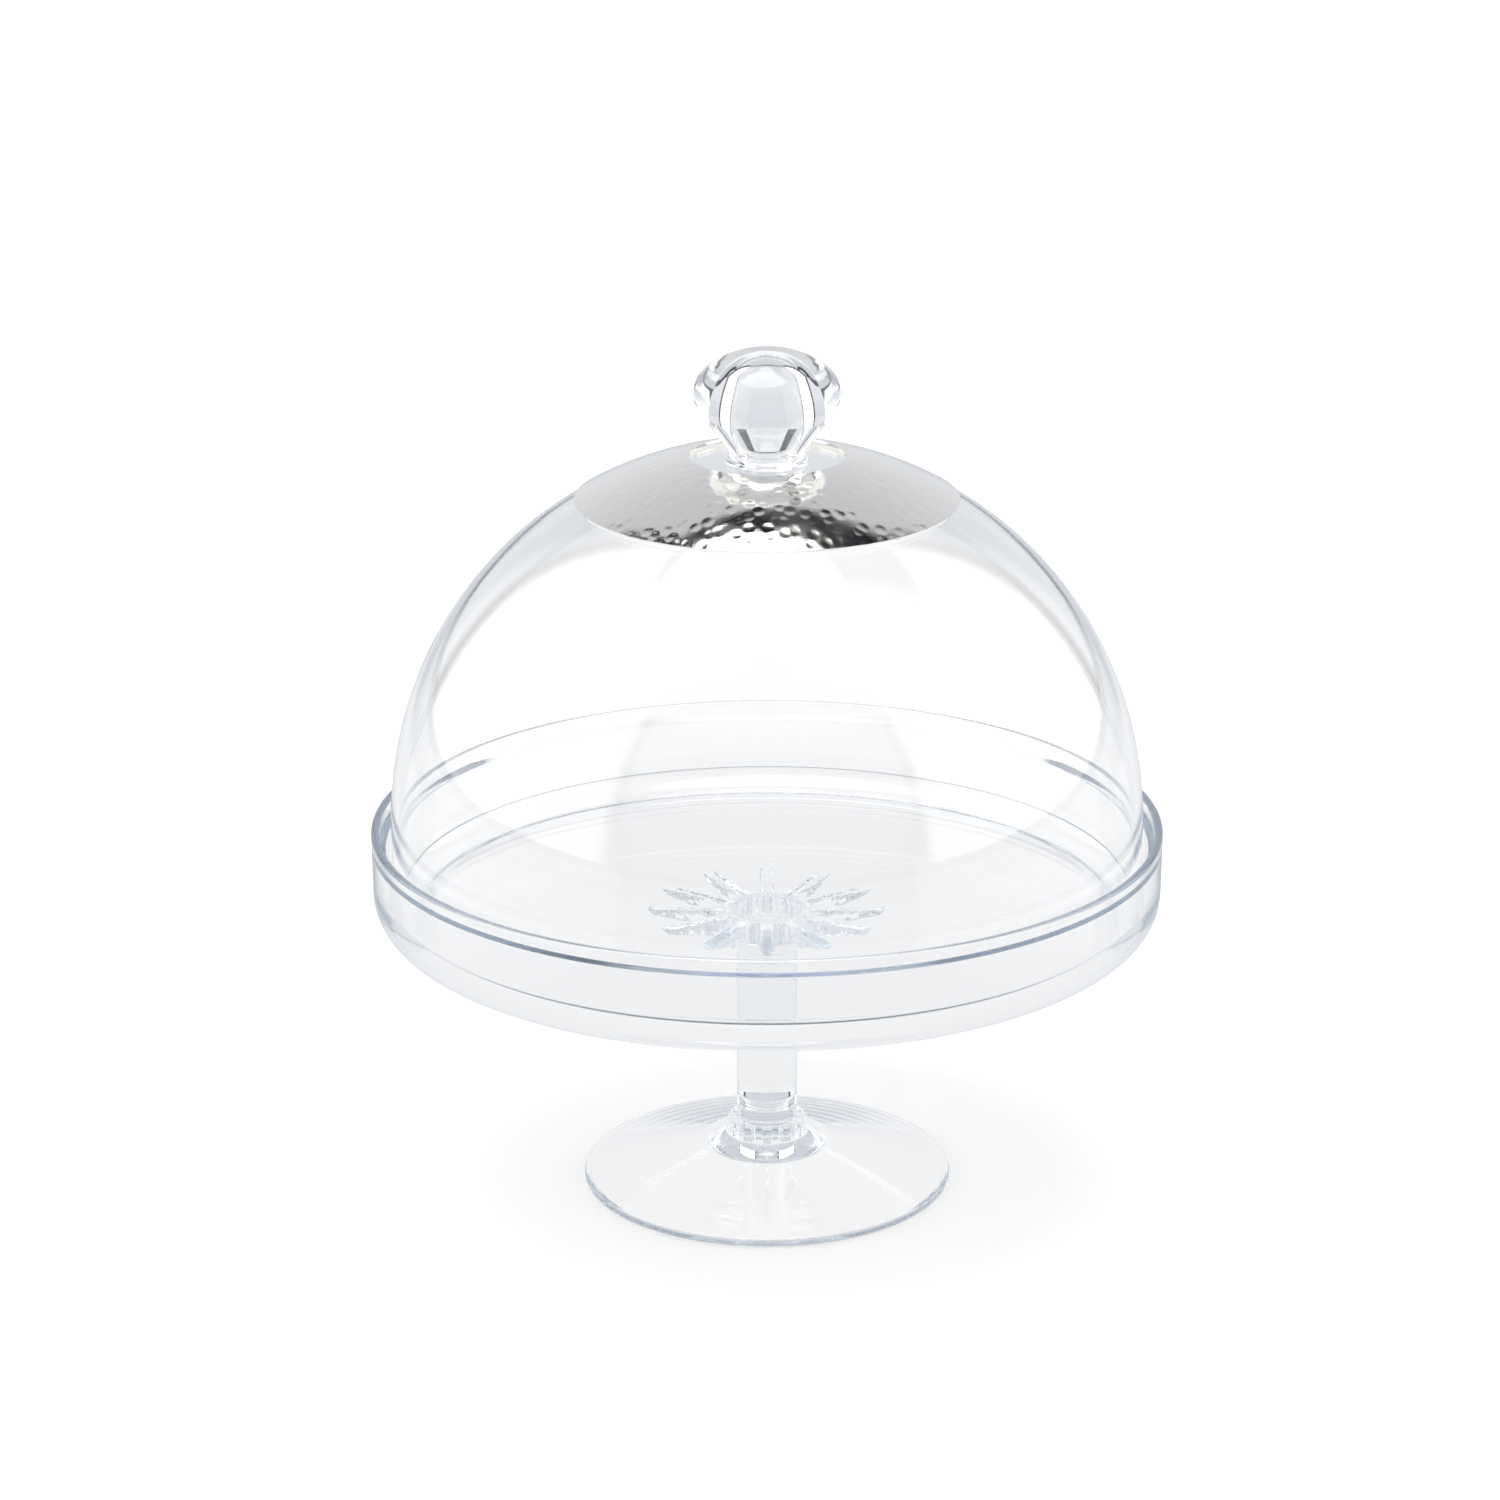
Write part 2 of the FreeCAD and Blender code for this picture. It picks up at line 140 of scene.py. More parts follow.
# Steps round the axis and along an arc, and the turns that stay smooth or sharp.
TURN_STEPS = 360
RIB_STEPS = 480
FINE_STEPS = 720
ARC_STEP = math.radians(4)
SMOOTH_TURN = math.cos(math.radians(25))
SHARP_TURN = math.radians(50)
ON_AXIS = EDGE / 100


# Outlines

def arc(centre, radius, start, end):
    """Points on an arc from start to end, in degrees from the outward direction."""
    steps = max(2, math.ceil(abs(math.radians(end - start)) / ARC_STEP))
    angles = np.radians(np.linspace(start, end, steps + 1))
    return [
        (centre[0] + radius * math.cos(a), centre[1] + radius * math.sin(a))
        for a in angles
    ]


def hollow_arc(start, end, radius):
    """Corners along a hollow arc from start up to end, which is left out."""
    start, end = np.array(start), np.array(end)
    chord = end - start
    length = float(np.linalg.norm(chord))
    right = np.array([chord[1], -chord[0]]) / length
    centre = (start + end) / 2 + right * math.sqrt(radius**2 - length**2 / 4)
    first, last = (
        math.degrees(math.atan2(*(point - centre)[::-1])) for point in (start, end)
    )
    if last > first:
        last -= 360
    return [(*point, 0) for point in arc(centre, radius, first, last)[:-1]]


def rounded(corners):
    """A closed outline from (radius, height, rounding) corners."""
    outline = []
    places = [np.array(corner[:2], float) for corner in corners]
    for index, (_, _, rounding) in enumerate(corners):
        here = places[index]
        if not rounding:
            outline.append(tuple(here))
            continue
        before = here - places[index - 1]
        after = places[(index + 1) % len(places)] - here
        before /= np.linalg.norm(before)
        after /= np.linalg.norm(after)
        cross = before[0] * after[1] - before[1] * after[0]
        turn = math.atan2(cross, float(np.dot(before, after)))
        begin = here - before * rounding * math.tan(abs(turn) / 2)
        side = math.copysign(1, turn)
        centre = begin + side * rounding * np.array([-before[1], before[0]])
        first = math.degrees(math.atan2(*(begin - centre)[::-1]))
        outline += arc(centre, rounding, first, first + math.degrees(turn))
    return outline


def segment_normals(outline):
    """Outward normals at the start and the end of each stretch of an outline.

    Neighbours share a normal where the outline turns gently. The longer stretch
    decides, so that a flat face stays flat up to the rounding beside it.
    """
    steps = np.roll(outline, -1, axis=0) - outline
    lengths = np.linalg.norm(steps, axis=1)
    facing = np.stack([steps[:, 1], -steps[:, 0]], axis=1) / lengths[:, None]
    before = np.roll(facing, 1, axis=0)
    weight = (lengths**2)[:, None]
    shared = before * np.roll(weight, 1, axis=0) + facing * weight
    shared /= np.linalg.norm(shared, axis=1)[:, None]
    gentle = (np.sum(before * facing, axis=1) > SMOOTH_TURN)[:, None]
    starts = np.where(gentle, shared, facing)
    ends = np.roll(np.where(gentle, shared, before), -1, axis=0)
    return starts, ends


# Turning

def turned(name, outline, steps=TURN_STEPS, deform=None):
    """Turns an outline about Z into one closed mesh.

    deform(radii, heights, angles) may move the rings of points, given as arrays with
    one row for each outline point and one column for each step round.
    """
    outline = np.array(outline, float)
    angles = np.arange(steps) * 2 * math.pi / steps
    radii = np.repeat(outline[:, :1], steps, axis=1)
    heights = np.repeat(outline[:, 1:], steps, axis=1)
    if deform:
        moved_radii, moved_heights = deform(radii, heights, angles)
        moved = np.any((moved_radii != radii) | (moved_heights != heights), axis=1)
        radii, heights = moved_radii, moved_heights
    else:
        moved = np.zeros(len(outline), bool)
    on_axis = outline[:, 0] < ON_AXIS
    vertices = []
    rings = []
    for index in range(len(outline)):
        first = len(vertices)
        if on_axis[index]:
            vertices.append((0, 0, outline[index, 1]))
            rings.append(np.full(steps, first))
            continue
        x = radii[index] * np.cos(angles)
        y = radii[index] * np.sin(angles)
        vertices += list(zip(x, y, heights[index]))
        rings.append(np.arange(first, first + steps))
    starts, ends = segment_normals(outline)
    faces = []
    normals = []
    exact = []
    onward = np.roll(np.arange(steps), -1)
    for index in range(len(outline)):
        following = (index + 1) % len(outline)
        if on_axis[index] and on_axis[following]:
            continue
        low, high = rings[index], rings[following]
        corners = [
            (low, np.arange(steps), starts[index]),
            (low, onward, starts[index]),
            (high, onward, ends[index]),
            (high, np.arange(steps), ends[index]),
        ]
        if on_axis[index]:
            corners.pop(0)
        elif on_axis[following]:
            corners.pop(3)
        faces += np.stack([ring[turn] for ring, turn, _ in corners], 1).tolist()
        around = np.stack([
            np.stack([
                out * np.cos(angles[turn]), out * np.sin(angles[turn]), np.full(steps, up)
            ], axis=1)
            for _, turn, (out, up) in corners
        ], axis=1)
        normals.append(around.reshape(-1, 3))
        exact += [not (moved[index] or moved[following])] * steps * len(corners)
    normals = np.concatenate(normals)
    mesh = bpy.data.meshes.new(name)
    mesh.from_pydata(vertices, [], faces)
    mesh.shade_smooth()
    if deform:
        mesh.set_sharp_from_angle(angle=SHARP_TURN)
        found = np.zeros(len(mesh.loops) * 3, np.float32)
        mesh.corner_normals.foreach_get("vector", found)
        found = found.reshape(-1, 3)
        normals = np.where(np.array(exact)[:, None], normals, found)
    mesh.normals_split_custom_set(normals.tolist())
    piece = bpy.data.objects.new(name, mesh)
    bpy.context.scene.collection.objects.link(piece)
    return piece


def pulse(angles, count, half_width, edge):
    """1 on count evenly spaced teeth and 0 between them, with edges edge wide.

    half_width and edge are angles.
    """
    pitch = 2 * math.pi / count
    away = np.abs((angles + pitch / 2) % pitch - pitch / 2)
    step = np.clip((half_width + edge / 2 - away) / edge, 0, 1)
    return step * step * (3 - 2 * step)


def stand_for(piece, node, material):
    """Makes the piece take a CAD node's place, body and slot."""
    piece.data.materials.append(material)
    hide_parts(node)
    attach(piece, NODE_BODY[node])


# Pieces

def foot():
    """A hollow cone on a narrow pad, sweeping up to a hub with a socket."""
    _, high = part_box("foot")
    half_edge = FOOT_EDGE / 2
    edge_round = half_edge * ROUND_SHARE
    rim = high.x - half_edge
    under_hub = high.z - SOCKET_DEPTH - FOOT_WALL
    socket = PLUG_RADIUS + BOND_GAP
    sweep = hollow_arc((CONE_RADIUS, CONE_HEIGHT), (HUB_RADIUS, high.z), HUB_SWEEP)
    outline = rounded([
        (0, under_hub, 0),
        (HUB_RADIUS - FOOT_WALL, under_hub, 0),
        (CONE_RADIUS, CONE_HEIGHT - FOOT_WALL, CONE_ROUND),
        (rim - FOOT_PAD, 0, PAD_ROUND),
        (high.x, 0, edge_round),
        (high.x, FOOT_EDGE, edge_round),
        *sweep,
        (HUB_RADIUS, high.z, EDGE),
        (socket, high.z, EDGE),
        (socket, high.z - SOCKET_DEPTH, EDGE),
        (0, high.z - SOCKET_DEPTH, 0),
    ])
    return turned("foot_glass", outline)


def lower_coupling():
    """A plug in the foot, a toothed flange, a neck and a spigot in the stem."""
    low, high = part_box("lower_coupling")
    tip = high.x
    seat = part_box("foot")[1].z + BOND_GAP
    shoulder = seat + FLANGE_HEIGHT
    stem_seat = high.z - SPIGOT_LENGTH
    flange_face = ROOT_RADIUS - 1.5 * EDGE     # takes in the rounded edges
    outline = rounded([
        (0, low.z, 0),
        (PLUG_RADIUS, low.z, EDGE),
        (PLUG_RADIUS, seat, EDGE),
        (ROOT_RADIUS, seat, EDGE),
        (ROOT_RADIUS, shoulder, EDGE),
        (NECK_RADIUS, shoulder, EDGE),
        (NECK_RADIUS, stem_seat, EDGE),
        (SPIGOT_RADIUS, stem_seat, EDGE),
        (SPIGOT_RADIUS, high.z, EDGE),
        (0, high.z, 0),
    ])

    def teeth(radii, heights, angles):
        tooth = pulse(angles, TOOTH_COUNT, TOOTH_WIDTH / 2 / tip, TOOTH_EDGE / tip)
        on_flange = np.abs(heights - (seat + shoulder) / 2) <= FLANGE_HEIGHT / 2
        outside = on_flange & (radii > flange_face)
        return np.where(outside, radii + (tip - ROOT_RADIUS) * tooth, radii), heights

    return turned("lower_coupling_glass", outline, deform=teeth)


def stem():
    """A solid rod, bored at its lower end for the coupling's spigot."""
    low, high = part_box("stem")
    bore = SPIGOT_RADIUS + BOND_GAP
    outline = rounded([
        (bore, low.z, EDGE),
        (high.x, low.z, STEM_ROUND),
        (high.x, high.z, STEM_ROUND),
        (0, high.z, 0),
        (0, low.z + SPIGOT_LENGTH, 0),
        (bore, low.z + SPIGOT_LENGTH, EDGE),
    ])
    return turned("stem_glass", outline)


def cup_radius():
    """Inner radius of the upper coupling's cup, at the foot of its ribs."""
    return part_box("stem")[1].x + BOND_GAP + RIB_DEPTH


def upper_coupling():
    """A sleeve round the stem's upper end, with a ribbed cup above it."""
    low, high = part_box("upper_coupling")
    inside = cup_radius()
    outside = inside + CUP_WALL
    grip = inside - RIB_DEPTH
    seat = high.z - CUP_DEPTH
    outline = rounded([
        (grip, low.z, EDGE / 2),
        (outside, low.z, EDGE),
        (outside, high.z, EDGE),
        (inside, high.z, EDGE),
        (inside, seat, EDGE),
        (grip, seat, EDGE / 2),
    ])

    def ribs(radii, heights, angles):
        rib = pulse(angles, RIB_COUNT, RIB_WIDTH / 2 / inside, RIB_EDGE / inside)
        in_cup = (heights > seat + EDGE / 2) & (radii < inside + EDGE / 2)
        return np.where(in_cup, radii - RIB_DEPTH * RIB_SHARE * rib, radii), heights

    return turned("upper_coupling_glass", outline, steps=RIB_STEPS, deform=ribs)


def plate():
    """A flat dish with an upright wall and a thin lip; a socket and gussets below."""
    _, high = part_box("plate")
    rim = high.z
    radius = high.x
    step = rim - LIP_HEIGHT
    floor = rim - FLOOR_DROP
    underside = floor - FLOOR_THICKNESS
    wall_foot = radius - WALL_DRAFT
    wall_inside = radius - WALL
    socket_inside = cup_radius() + CUP_WALL + BOND_GAP
    socket_outside = socket_inside + SOCKET_WALL
    socket_end = underside - SOCKET_LENGTH
    lip_edge = LIP_WALL / 2 * ROUND_SHARE
    spokes = np.linspace(
        socket_outside + 2 * EDGE, GUSSET_REACH + GUSSET_MARGIN, GUSSET_ROWS
    )
    outline = rounded([
        (0, underside, 0),
        (socket_inside, underside, EDGE),
        (socket_inside, socket_end, EDGE),
        (socket_outside, socket_end, EDGE),
        (socket_outside, underside, EDGE),
        *((spoke, underside, 0) for spoke in spokes),
        (wall_foot, underside, OUTER_CORNER),
        (radius, rim, lip_edge),
        (radius - LIP_WALL, rim, lip_edge),
        (radius - LIP_WALL, step, LIP_ROUND),
        (wall_inside, step - (WALL - LIP_WALL), LIP_ROUND),
        (wall_inside - WALL_DRAFT, floor, INNER_CORNER),
        (0, floor, 0),
    ])

    def gussets(radii, heights, angles):
        reach = np.clip((radii - socket_outside) / (GUSSET_REACH - socket_outside), 0, 1)
        depth = GUSSET_FOOT + (GUSSET_TIP - GUSSET_FOOT) * reach
        away = np.maximum(radii, socket_outside)
        half_width = GUSSET_THICKNESS / 2 / away
        fin = pulse(angles[None, :], GUSSET_COUNT, half_width, GUSSET_EDGE / away)
        under = (
            (np.abs(heights - underside) < EDGE)
            & (radii > socket_outside - EDGE / 10)
            & (radii < GUSSET_REACH)
        )
        return radii, np.where(under, heights - depth * fin, heights)

    return turned("plate_glass", outline, steps=FINE_STEPS, deform=gussets)


def dome():
    """A hemisphere on a short upright skirt with a rounded edge."""
    low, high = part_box("dome")
    outer = high.x
    inner = outer - DOME_WALL
    centre = low.z + DOME_SKIRT
    edge_height = low.z + DOME_EDGE
    ceiling = high.z - DOME_WALL
    outer_stop = math.degrees(math.asin((high.z - centre) / outer))
    inner_stop = math.degrees(math.asin((ceiling - centre) / inner))
    outline = arc((outer - DOME_EDGE, edge_height), DOME_EDGE, -90, 0)
    outline += arc((0, centre), outer, 0, outer_stop)
    outline += [(0, high.z), (0, ceiling)]
    outline += arc((0, centre), inner, inner_stop, 0)
    outline += arc((inner + DOME_EDGE, edge_height), DOME_EDGE, 180, 270)
    return turned("dome_glass", outline)


def knob():
    """A mushroom knob on a waisted, flared neck, hollow from below."""
    low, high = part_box("knob")
    belt = high.z - KNOB_BELT_DROP
    bend_centre = high.x - KNOB_BEND
    rise = KNOB_BELT_DROP
    crown = (bend_centre**2 + rise**2 - KNOB_BEND**2) / (rise - KNOB_BEND) / 2
    crown_centre = high.z - crown
    crown_edge = math.degrees(math.atan2(belt - crown_centre, bend_centre))
    flank = math.degrees(math.asin(FLANK_SINE))
    flank_top = high.x - KNOB_BEND * (1 - FLANK_COSINE)
    flank_end = KNOB_NECK + KNOB_WAIST * (1 - FLANK_COSINE)
    drop = (flank_top - flank_end) * FLANK_COSINE / FLANK_SINE
    neck = belt - KNOB_BEND * FLANK_SINE - drop - KNOB_WAIST * FLANK_SINE
    flare = neck - low.z - KNOB_LIP
    cavity_belt = high.z - CAVITY_DROP
    outline = [(CAVITY_NECK, low.z), (KNOB_NECK + flare, low.z)]
    outline += arc((KNOB_NECK + flare, neck), flare, -90, -180)
    outline += arc((KNOB_NECK + KNOB_WAIST, neck), KNOB_WAIST, 180, 180 - flank)[1:]
    outline += arc((bend_centre, belt), KNOB_BEND, -flank, crown_edge)
    outline += arc((0, crown_centre), crown, crown_edge, 90)[1:-1]
    outline += [(0, high.z)]
    outline += arc((0, cavity_belt), CAVITY_RADIUS, 90, 0)
    outline += [(CAVITY_NECK, high.z - THROAT_DROP)]
    return turned("knob_glass", outline)


def hammer_marks(inner, outer):
    """Uneven rings of hammer blows between two radii: places and heights."""
    chance = random.Random(HAMMER_SEED)
    jitter = (-HAMMER_JITTER, HAMMER_JITTER)
    marks = []
    for row in range(round((outer - inner) / HAMMER_PITCH) + 2):
        radius = inner + (row - 0.5) * HAMMER_PITCH
        count = round(2 * math.pi * radius / HAMMER_PITCH)
        for index in range(count):
            angle = (index + 0.5 * row + chance.uniform(*jitter)) * 2 * math.pi / count
            place = radius + chance.uniform(*jitter) * HAMMER_PITCH
            marks.append((
                place * math.cos(angle),
                place * math.sin(angle),
                chance.uniform(0, HAMMER_UNEVEN) * MM,
            ))
    return np.array(marks)


def hammered_rise(x, y, marks):
    """Height of the face above the bottom of the deepest blow, at arrays of places."""
    across = x[:, None] - marks[None, :, 0]
    along = y[:, None] - marks[None, :, 1]
    bowls = (across**2 + along**2) / (2 * HAMMER_CURVE) + marks[None, :, 2]
    sharpness = 1 / HAMMER_BLEND
    lowest = bowls.min(axis=1)
    blend = np.exp(-(bowls - lowest[:, None]) * sharpness).sum(axis=1)
    return lowest - np.log(blend) / sharpness


def cap_ring():
    """A zone of a sphere in sheet metal, hammered on its outer face."""
    _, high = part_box("cap_ring")
    dome_low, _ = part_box("dome")
    centre = dome_low.z + DOME_SKIRT
    outer_radius = high.x
    face = math.hypot(RING_HOLE, high.z - centre)
    back = face - RING_WALL
    tilts = np.degrees(np.arccos(np.array([outer_radius, RING_HOLE]) / face))
    outline = []
    for radius, ends, rows in (
        (face, tilts, RING_ROWS),
        (back, tilts[::-1], RING_BACK_ROWS),
    ):
        for tilt in np.radians(np.linspace(*ends, rows)):
            outline.append((radius * math.cos(tilt), centre + radius * math.sin(tilt)))
    marks = hammer_marks(RING_HOLE, outer_radius)

    def hammered(radii, heights, angles):
        radii, heights = radii.copy(), heights.copy()
        for row in range(RING_ROWS):
            x = radii[row] * np.cos(angles)
            y = radii[row] * np.sin(angles)
            depth = np.clip(HAMMER_DEPTH - hammered_rise(x, y, marks), 0, None)
            heights[row] -= depth
        return radii, heights

    return turned("cap_ring_metal", outline, steps=FINE_STEPS, deform=hammered)


# Materials

def new_material(name):
    material = bpy.data.materials.new(name)
    material.use_nodes = True
    tree = material.node_tree
    shader = tree.nodes["Principled BSDF"]
    return material, tree, shader


def add(tree, kind, inputs=None, **settings):
    """Adds a node. inputs maps a socket's name or number to a value or a socket."""
    node = tree.nodes.new(kind)
    for key, value in settings.items():
        setattr(node, key, value)
    for key, value in (inputs or {}).items():
        if isinstance(value, bpy.types.NodeSocket):
            tree.links.new(value, node.inputs[key])
        else:
            node.inputs[key].default_value = value
    return node


def noise(tree, place, scale, detail=2.0, roughness=0.5):
    node = add(tree, "ShaderNodeTexNoise", {
        "Vector": place, "Scale": scale, "Detail": detail, "Roughness": roughness,
    })
    return node.outputs["Fac"]


def spread(tree, value, low, high, to_low, to_high):
    """Maps a value smoothly from one range to another."""
    node = add(tree, "ShaderNodeMapRange", {
        "Value": value, "From Min": low, "From Max": high,
        "To Min": to_low, "To Max": to_high,
    }, interpolation_type="SMOOTHSTEP")
    return node.outputs["Result"]


ACRYLIC_TINT = (0.62, 0.68, 0.745)
ACRYLIC_IOR = 1.49
SMUDGE_SCALE = 22.0
SMUDGE_RANGE = (0.55, 0.8)
WAVE_SCALE = 28.0
STEEL_COLOUR = (0.90, 0.88, 0.84)
PATCH_SCALE = 60.0
PATCH_RANGE = (0.3, 0.8)
STEEL_ROUGHNESS = (0.06, 0.16)
GRAIN_SCALE = 900.0
GRAIN_DEPTH = 0.02 * MM
GRAIN_STRENGTH = 0.6


def clear_material(name, density, wave_depth, scuff):
    """Clear moulded acrylic with faintly wavy faces and soft smudges.

    density is how strongly it tints, and scuff is the roughness of the smudges.
    """
    material, tree, shader = new_material(name)
    place = add(tree, "ShaderNodeTexCoord").outputs["Object"]
    shader.inputs["Base Color"].default_value = (1, 1, 1, 1)
    shader.inputs["IOR"].default_value = ACRYLIC_IOR
    shader.inputs["Transmission Weight"].default_value = 1.0
    smudge = noise(tree, place, SMUDGE_SCALE, detail=4.0)
    roughness = spread(tree, smudge, *SMUDGE_RANGE, 0.0, scuff)
    tree.links.new(roughness, shader.inputs["Roughness"])
    waves = noise(tree, place, WAVE_SCALE, detail=1.0)
    bump = add(tree, "ShaderNodeBump", {
        "Height": waves, "Distance": wave_depth, "Strength": 1.0,
    })
    tree.links.new(bump.outputs["Normal"], shader.inputs["Normal"])
    absorption = add(tree, "ShaderNodeVolumeAbsorption", {
        "Color": (*ACRYLIC_TINT, 1), "Density": density,
    })
    output = tree.nodes["Material Output"]
    tree.links.new(absorption.outputs["Volume"], output.inputs["Volume"])
    return material


def hammered_metal():
    """Polished steel: mirror bright, with a fine grain and dull patches."""
    material, tree, shader = new_material("hammered_steel")
    place = add(tree, "ShaderNodeTexCoord").outputs["Object"]
    shader.inputs["Base Color"].default_value = (*STEEL_COLOUR, 1)
    shader.inputs["Metallic"].default_value = 1.0
    patches = noise(tree, place, PATCH_SCALE, detail=5.0)
    roughness = spread(tree, patches, *PATCH_RANGE, *STEEL_ROUGHNESS)
    tree.links.new(roughness, shader.inputs["Roughness"])
    grain = noise(tree, place, GRAIN_SCALE)
    bump = add(tree, "ShaderNodeBump", {
        "Height": grain, "Distance": GRAIN_DEPTH, "Strength": GRAIN_STRENGTH,
    })
    tree.links.new(bump.outputs["Normal"], shader.inputs["Normal"])
    return material


# Studio

FLOOR_RADIUS = 9.0
FLOOR_CORNERS = 64
FLOOR_GAP = 0.3 * MM
FLOOR_WHITE = 0.58
FLOOR_GLOW = 0.52
FLOOR_REFLECTED_SHADE = (0.66, 0.69, 0.73)

# What the clear pieces show of the floor, from the object outwards: a painted shade under
# the object, then painted grey and dark shade further out.
FLOOR_SHADE = 0.95
SHADE_RADII = (0.10, 0.60)
FLOOR_LIT = 1.04
LIT_RADII = (0.92, 1.25)
FLOOR_FAR_SHADE = (0.62, 0.65, 0.69)
END_RADII = (2.6, 3.2)
FLOOR_END_SHADE = (0.03, 0.035, 0.05)

CAMERA_DISTANCE = 1.713
CAMERA_HEIGHT = 0.7507
CAMERA_PITCH = 18.54
CAMERA_REACH = 50
FRAME_PIXELS = 1500
FOCAL_PIXELS = 4703
SENSOR = 36.0
AXIS_OFFSET_PIXELS = 17


def floor():
    """A wide, plain white floor, lit evenly so that it fades into a white surround.

    In reflections it shows a flat grey glow, a painted shade. Through the clear pieces it
    shows painted glow and shade: a little darker right under the object, white round it,
    grey further out and dark at the end, as where only the ground nearby is lit.
    """
    mesh = bpy.data.meshes.new("studio_floor")
    ring = [
        (FLOOR_RADIUS * math.cos(turn), FLOOR_RADIUS * math.sin(turn), 0)
        for turn in np.linspace(0, 2 * math.pi, FLOOR_CORNERS, endpoint=False)
    ]
    mesh.from_pydata(ring, [], [list(range(len(ring)))])
    piece = bpy.data.objects.new("studio_floor", mesh)
    bpy.context.scene.collection.objects.link(piece)
    piece.location.z = -FLOOR_GAP
    material, tree, shader = new_material("studio_floor")
    shader.inputs["Base Color"].default_value = (FLOOR_WHITE,) * 3 + (1,)
    shader.inputs["Roughness"].default_value = 1.0
    shader.inputs["Specular IOR Level"].default_value = 0.0
    glow = add(tree, "ShaderNodeEmission", {"Strength": FLOOR_GLOW})
    lit = add(tree, "ShaderNodeAddShader", {
        0: shader.outputs[0], 1: glow.outputs[0],
    })
    place = add(tree, "ShaderNodeTexCoord").outputs["Object"]
    length = add(tree, "ShaderNodeVectorMath", {0: place}, operation="LENGTH")
    away = length.outputs["Value"]
    # Painted shade under the object, seen only through the clear pieces.
    near = spread(tree, away, *SHADE_RADII, FLOOR_SHADE, FLOOR_LIT)
    near_glow = add(tree, "ShaderNodeEmission", {"Strength": near})

    def flat_glow(colour):
        return add(tree, "ShaderNodeEmission", {"Color": (*colour, 1)})

    def mix(share, first, second):
        return add(tree, "ShaderNodeMixShader", {
            0: share, 1: first.outputs[0], 2: second.outputs[0],
        })

    # Further out, a painted grey and then a dark shade, seen only through the clear pieces.
    far_part = spread(tree, away, *LIT_RADII, 0.0, 1.0)
    end_part = spread(tree, away, *END_RADII, 0.0, 1.0)
    outside = mix(end_part, flat_glow(FLOOR_FAR_SHADE), flat_glow(FLOOR_END_SHADE))
    through = mix(far_part, near_glow, outside)
    path = add(tree, "ShaderNodeLightPath").outputs
    seen = mix(path["Is Transmission Ray"], lit, through)
    # Reflections see the floor as a flat grey glow: a painted shade.
    mirrored = mix(path["Is Reflection Ray"], seen, flat_glow(FLOOR_REFLECTED_SHADE))
    output = tree.nodes["Material Output"]
    tree.links.new(mirrored.outputs[0], output.inputs["Surface"])
    mesh.materials.append(material)


def camera():
    """A camera before the object, looking down on it a little."""
    data = bpy.data.cameras.new("camera")
    data.sensor_width = SENSOR
    data.lens = SENSOR * FOCAL_PIXELS / FRAME_PIXELS
    data.shift_x = -AXIS_OFFSET_PIXELS / FRAME_PIXELS
    data.clip_end = CAMERA_REACH
    piece = bpy.data.objects.new("camera", data)
    piece.location = (0, -CAMERA_DISTANCE, CAMERA_HEIGHT)
    piece.rotation_euler = (math.radians(90 - CAMERA_PITCH), 0, 0)
    bpy.context.scene.collection.objects.link(piece)
    bpy.context.scene.camera = piece


ROOM = (0.50, 0.52, 0.55)
GAP = (0.008, 0.010, 0.014)
SIDE_BOX = 1.6
BACKDROP = (0.78, 0.80, 0.84)
BACKDROP_TOP = (0.58, 0.60, 0.64)
FRONT_BOX = (0.95, 0.95, 0.97)
TOP_BOX = 4.0

# The edges of those parts: where each lies and how soft it is, in degrees. The first
# five are round from the camera's side, the others up from level.
ROOM_END = (46, 5)
SIDE_START = (50, 6)
FRONT_END = (112, 16)
SIDE_END = (137, 6)
BACKDROP_START = (143, 5)
BACKDROP_FADE = (30, 60)
FRONT_START = (42, 6)
GAP_START = (57, 4)
TOP_START = (68.5, 4)
GAP_SLOPE = 0.18         # of both its edges, towards the right


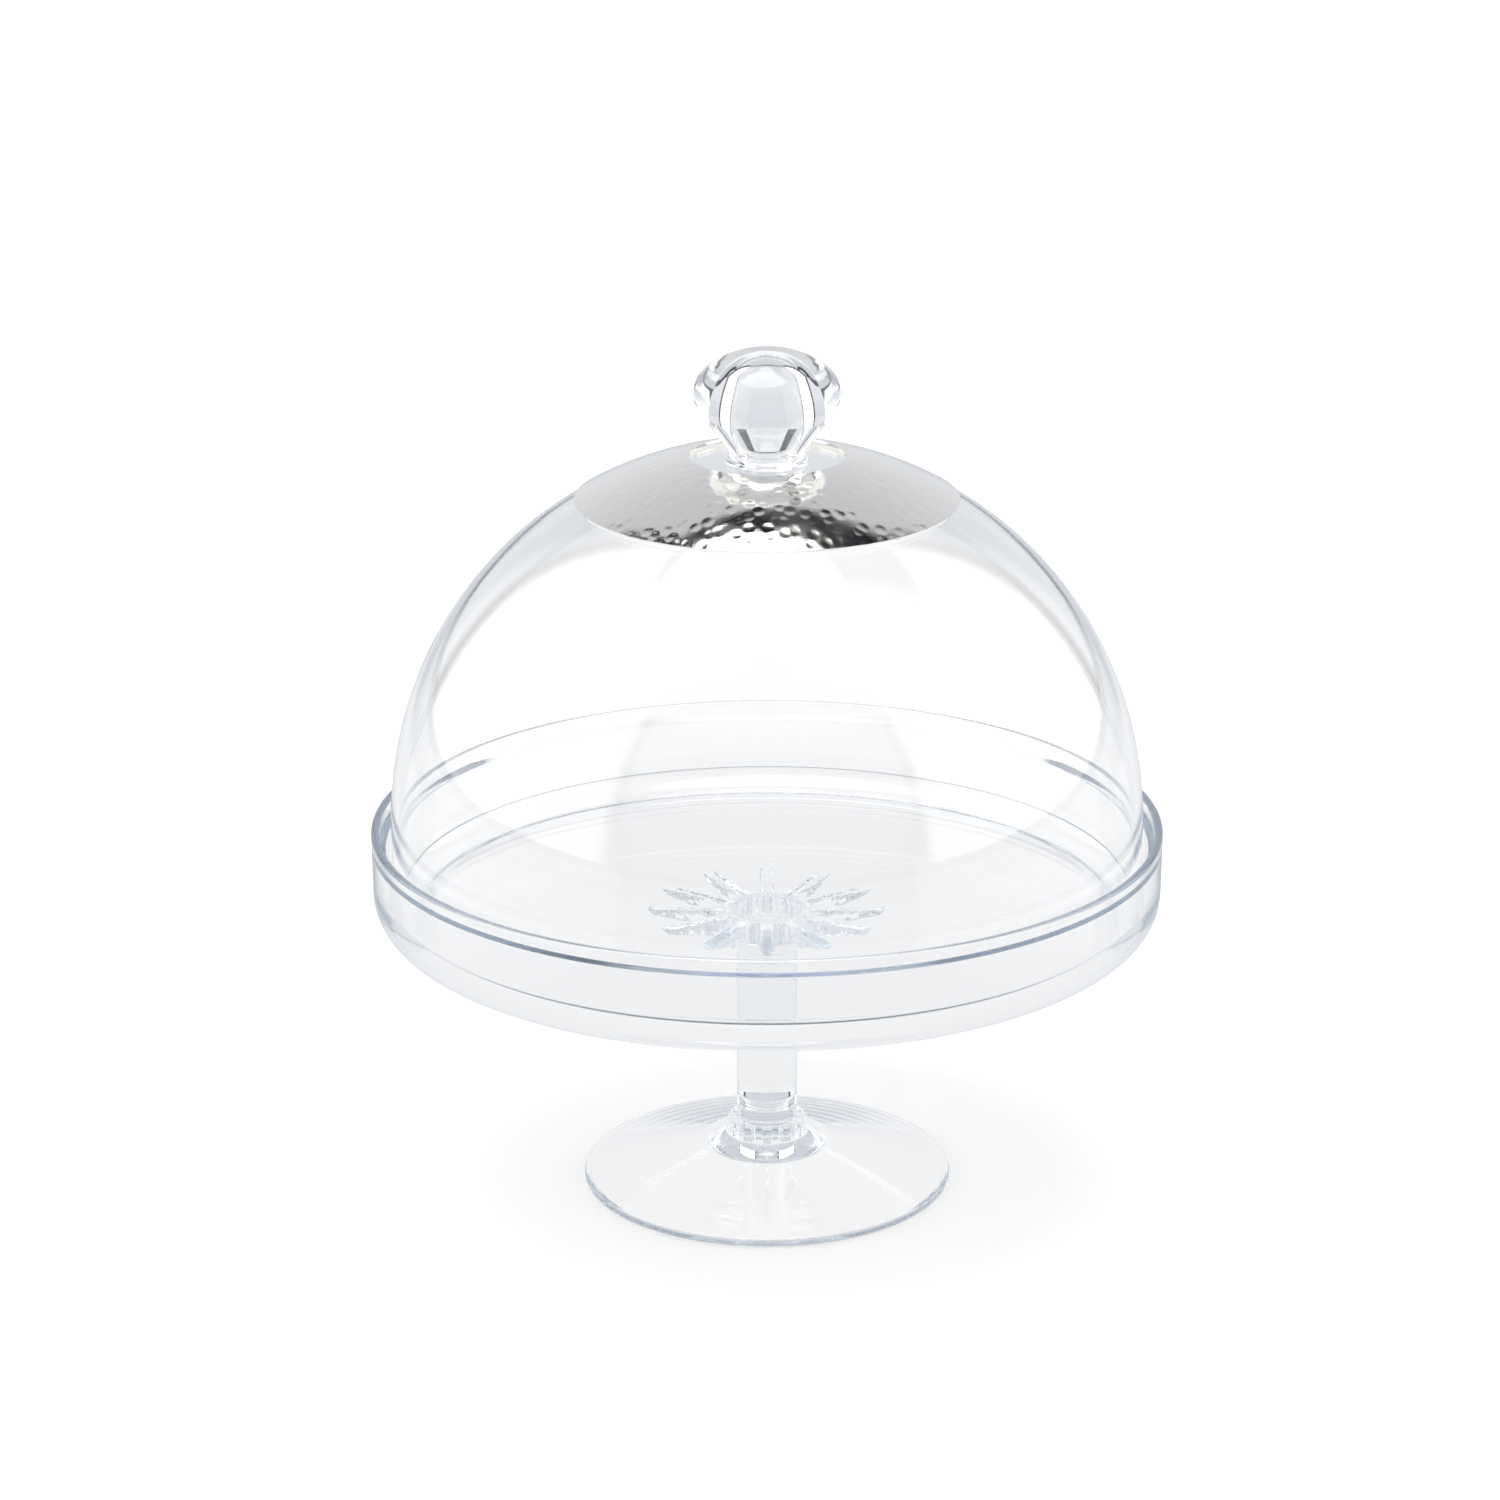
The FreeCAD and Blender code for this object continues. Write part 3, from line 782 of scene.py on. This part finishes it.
def studio_light():
    """A soft studio: box lights at both sides and above, a backdrop, dark gaps."""
    world = bpy.data.worlds.new("studio")
    bpy.context.scene.world = world
    world.use_nodes = True
    tree = world.node_tree
    tree.nodes.clear()
    direction = add(tree, "ShaderNodeTexCoord").outputs["Generated"]
    parts = add(tree, "ShaderNodeSeparateXYZ", {"Vector": direction}).outputs

    def maths(operation, *values):
        inputs = dict(enumerate(values))
        return add(tree, "ShaderNodeMath", inputs, operation=operation).outputs[0]

    elevation = maths("ARCSINE", parts["Z"])
    ahead = maths("MULTIPLY", parts["Y"], -1.0)
    around = maths("ABSOLUTE", maths("ARCTAN2", parts["X"], ahead))

    def beyond(value, degrees, softness):
        half = math.radians(softness) / 2
        edge = math.radians(degrees)
        return spread(tree, value, edge - half, edge + half, 0.0, 1.0)

    def short_of(value, degrees, softness):
        return maths("SUBTRACT", 1.0, beyond(value, degrees, softness))

    def layer(base, mask, colour):
        mix = add(tree, "ShaderNodeMix", data_type="RGBA")
        tree.links.new(mask, mix.inputs["Factor"])
        for socket, value in (("A", base), ("B", colour)):
            port = next(
                port for port in mix.inputs
                if port.name == socket and port.type == "RGBA"
            )
            if isinstance(value, bpy.types.NodeSocket):
                tree.links.new(value, port)
            else:
                port.default_value = (*value, 1)
        return next(port for port in mix.outputs if port.type == "RGBA")

    # The dark gap over the backdrop is wider on the right.
    slope = maths("MULTIPLY", parts["X"], GAP_SLOPE)
    low_band = short_of(maths("ADD", elevation, slope), *GAP_START)
    top = beyond(maths("SUBTRACT", elevation, slope), *TOP_START)
    beside = maths("MULTIPLY", beyond(around, *SIDE_START), short_of(around, *SIDE_END))
    side = maths("MULTIPLY", beside, low_band)
    back = maths("MULTIPLY", beyond(around, *BACKDROP_START), low_band)
    front = maths("MULTIPLY", short_of(around, *FRONT_END), beyond(elevation, *FRONT_START))
    backdrop = layer(BACKDROP, beyond(elevation, *BACKDROP_FADE), BACKDROP_TOP)
    colour = layer(GAP, short_of(around, *ROOM_END), ROOM)
    colour = layer(colour, front, FRONT_BOX)
    colour = layer(colour, back, backdrop)
    colour = layer(colour, side, (SIDE_BOX,) * 3)
    colour = layer(colour, top, (TOP_BOX,) * 3)
    background = add(tree, "ShaderNodeBackground", {"Color": colour, "Strength": 1.0})
    output = add(tree, "ShaderNodeOutputWorld")
    tree.links.new(background.outputs[0], output.inputs["Surface"])


LIGHT_BOUNCES = 64
DIFFUSE_BOUNCES = 3


def light_paths():
    """Lets light pass the many faces of nested clear pieces, and keeps whites white."""
    scene = bpy.context.scene
    scene.view_settings.view_transform = "Standard"
    scene.cycles.max_bounces = LIGHT_BOUNCES
    scene.cycles.transmission_bounces = LIGHT_BOUNCES
    scene.cycles.glossy_bounces = LIGHT_BOUNCES
    scene.cycles.diffuse_bounces = DIFFUSE_BOUNCES


def main():
    clear = clear_material(
        "clear_body", density=9.0, wave_depth=0.01 * MM, scuff=0.03
    )
    dome_clear = clear_material(
        "clear_dome", density=6.0, wave_depth=0.03 * MM, scuff=0.02
    )
    knob_clear = clear_material(
        "clear_knob", density=3.0, wave_depth=0.02 * MM, scuff=0.03
    )
    metal = hammered_metal()
    stand_for(foot(), "foot", clear)
    stand_for(lower_coupling(), "lower_coupling", clear)
    stand_for(stem(), "stem", clear)
    stand_for(upper_coupling(), "upper_coupling", clear)
    stand_for(plate(), "plate", clear)
    stand_for(dome(), "dome", dome_clear)
    stand_for(knob(), "knob", knob_clear)
    stand_for(cap_ring(), "cap_ring", metal)
    floor()
    studio_light()
    camera()
    light_paths()


main()
